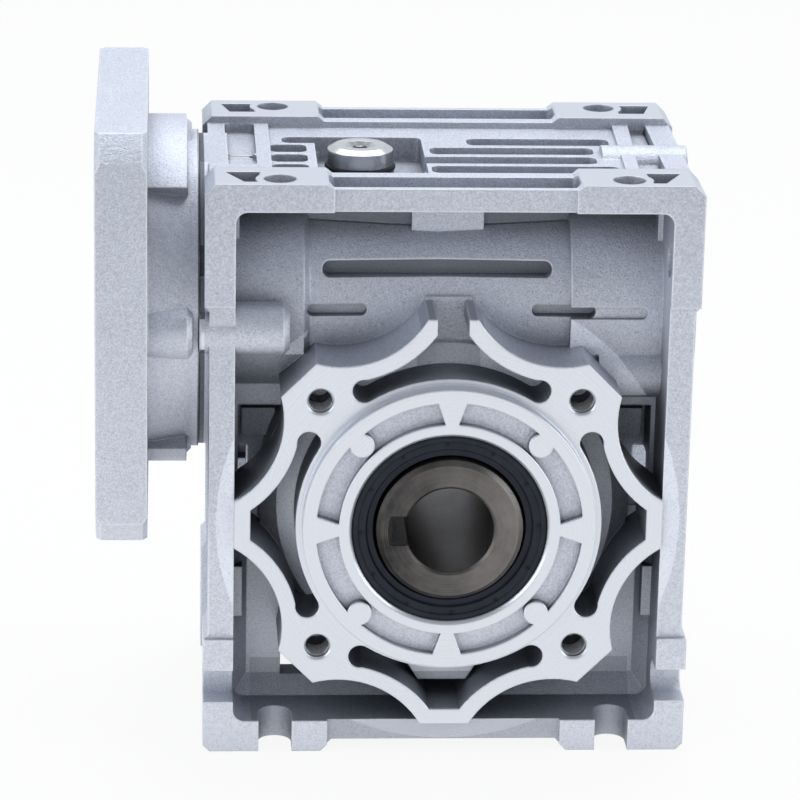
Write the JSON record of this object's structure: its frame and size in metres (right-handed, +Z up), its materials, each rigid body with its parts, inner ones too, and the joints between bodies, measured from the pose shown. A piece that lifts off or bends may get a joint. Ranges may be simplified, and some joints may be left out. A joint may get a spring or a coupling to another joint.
{
  "type": "worm gear reducer",
  "caption": "Finned cast housing with a lobed output face and hollow keyed shaft at right angles to a square motor flange, with worm, bronze wheel and bearings inside.",
  "frame": {"origin": "middle of the hollow output shaft, on its axis", "axes": "+X along the worm away from the motor flange, +Y along the output shaft towards the back cover, +Z up from the feet"},
  "size_m": [0.1218, 0.085, 0.1325],
  "materials": {
    "cast_aluminium": "fine sparkling die-cast skin, bright where machined",
    "black_rubber": "smooth nitrile rubber",
    "zinc_plated_steel": "bright zinc plate",
    "dark_steel": "oiled turned steel",
    "bearing_steel": "ground bearing steel",
    "bronze": "hobbed bronze"
  },
  "bodies": {
    "reducer": {"housing": "cast_aluminium", "side_cover": "cast_aluminium", "side_cover_oring": "black_rubber", "side_cover_screws": "zinc_plated_steel", "input_flange": "cast_aluminium", "input_flange_screws": "zinc_plated_steel", "oil_plug": "zinc_plated_steel", "oil_plug_oring": "black_rubber", "worm_end_cap": "black_rubber", "worm_front_circlip": "dark_steel", "worm_rear_circlip": "dark_steel", "input_seal": "black_rubber", "output_seal_front": "black_rubber", "output_seal_back": "black_rubber", "bearing_shim": "bearing_steel", "output_bearing_front_outer_ring": "bearing_steel", "output_bearing_back_outer_ring": "bearing_steel", "worm_bearing_front_outer_ring": "bearing_steel", "worm_bearing_rear_outer_ring": "bearing_steel"},
    "wheel": {"hollow_shaft": "dark_steel", "worm_wheel_rim": "bronze", "output_bearing_front_inner_ring": "bearing_steel", "output_bearing_back_inner_ring": "bearing_steel"},
    "worm": {"worm_shaft": "bearing_steel", "worm_bearing_front_inner_ring": "bearing_steel", "worm_bearing_rear_inner_ring": "bearing_steel"},
    "output_bearing_front_set": {"output_bearing_front_cage": "zinc_plated_steel", "output_bearing_front_balls": "bearing_steel"},
    "output_bearing_back_set": {"output_bearing_back_cage": "zinc_plated_steel", "output_bearing_back_balls": "bearing_steel"},
    "worm_bearing_front_set": {"worm_bearing_front_cage": "zinc_plated_steel", "worm_bearing_front_balls": "bearing_steel"},
    "worm_bearing_rear_set": {"worm_bearing_rear_cage": "zinc_plated_steel", "worm_bearing_rear_balls": "bearing_steel"}
  },
  "joints": [
    {"name": "wheel_spin", "type": "hinge", "parent": "reducer", "child": "wheel", "pos_m": [0, 0, 0], "axis": [0, 1, 0], "continuous": true},
    {"name": "worm_spin", "type": "hinge", "parent": "reducer", "child": "worm", "pos_m": [0, 0, 0.04], "axis": [1, 0, 0], "continuous": true},
    {"name": "output_bearing_front_cage_spin", "type": "hinge", "parent": "reducer", "child": "output_bearing_front_set", "pos_m": [0, 0, 0], "axis": [0, 1, 0], "continuous": true},
    {"name": "output_bearing_back_cage_spin", "type": "hinge", "parent": "reducer", "child": "output_bearing_back_set", "pos_m": [0, 0, 0], "axis": [0, 1, 0], "continuous": true},
    {"name": "worm_bearing_front_cage_spin", "type": "hinge", "parent": "reducer", "child": "worm_bearing_front_set", "pos_m": [0, 0, 0.04], "axis": [1, 0, 0], "continuous": true},
    {"name": "worm_bearing_rear_cage_spin", "type": "hinge", "parent": "reducer", "child": "worm_bearing_rear_set", "pos_m": [0, 0, 0.04], "axis": [1, 0, 0], "continuous": true}
  ],
  "couplings": [
    {"joint": "worm_spin", "follows": "wheel_spin", "ratio": -30},
    {"joint": "output_bearing_front_cage_spin", "follows": "wheel_spin", "ratio": 0.416},
    {"joint": "output_bearing_back_cage_spin", "follows": "wheel_spin", "ratio": 0.416},
    {"joint": "worm_bearing_front_cage_spin", "follows": "wheel_spin", "ratio": -12.868},
    {"joint": "worm_bearing_rear_cage_spin", "follows": "wheel_spin", "ratio": -11.927}
  ]
}
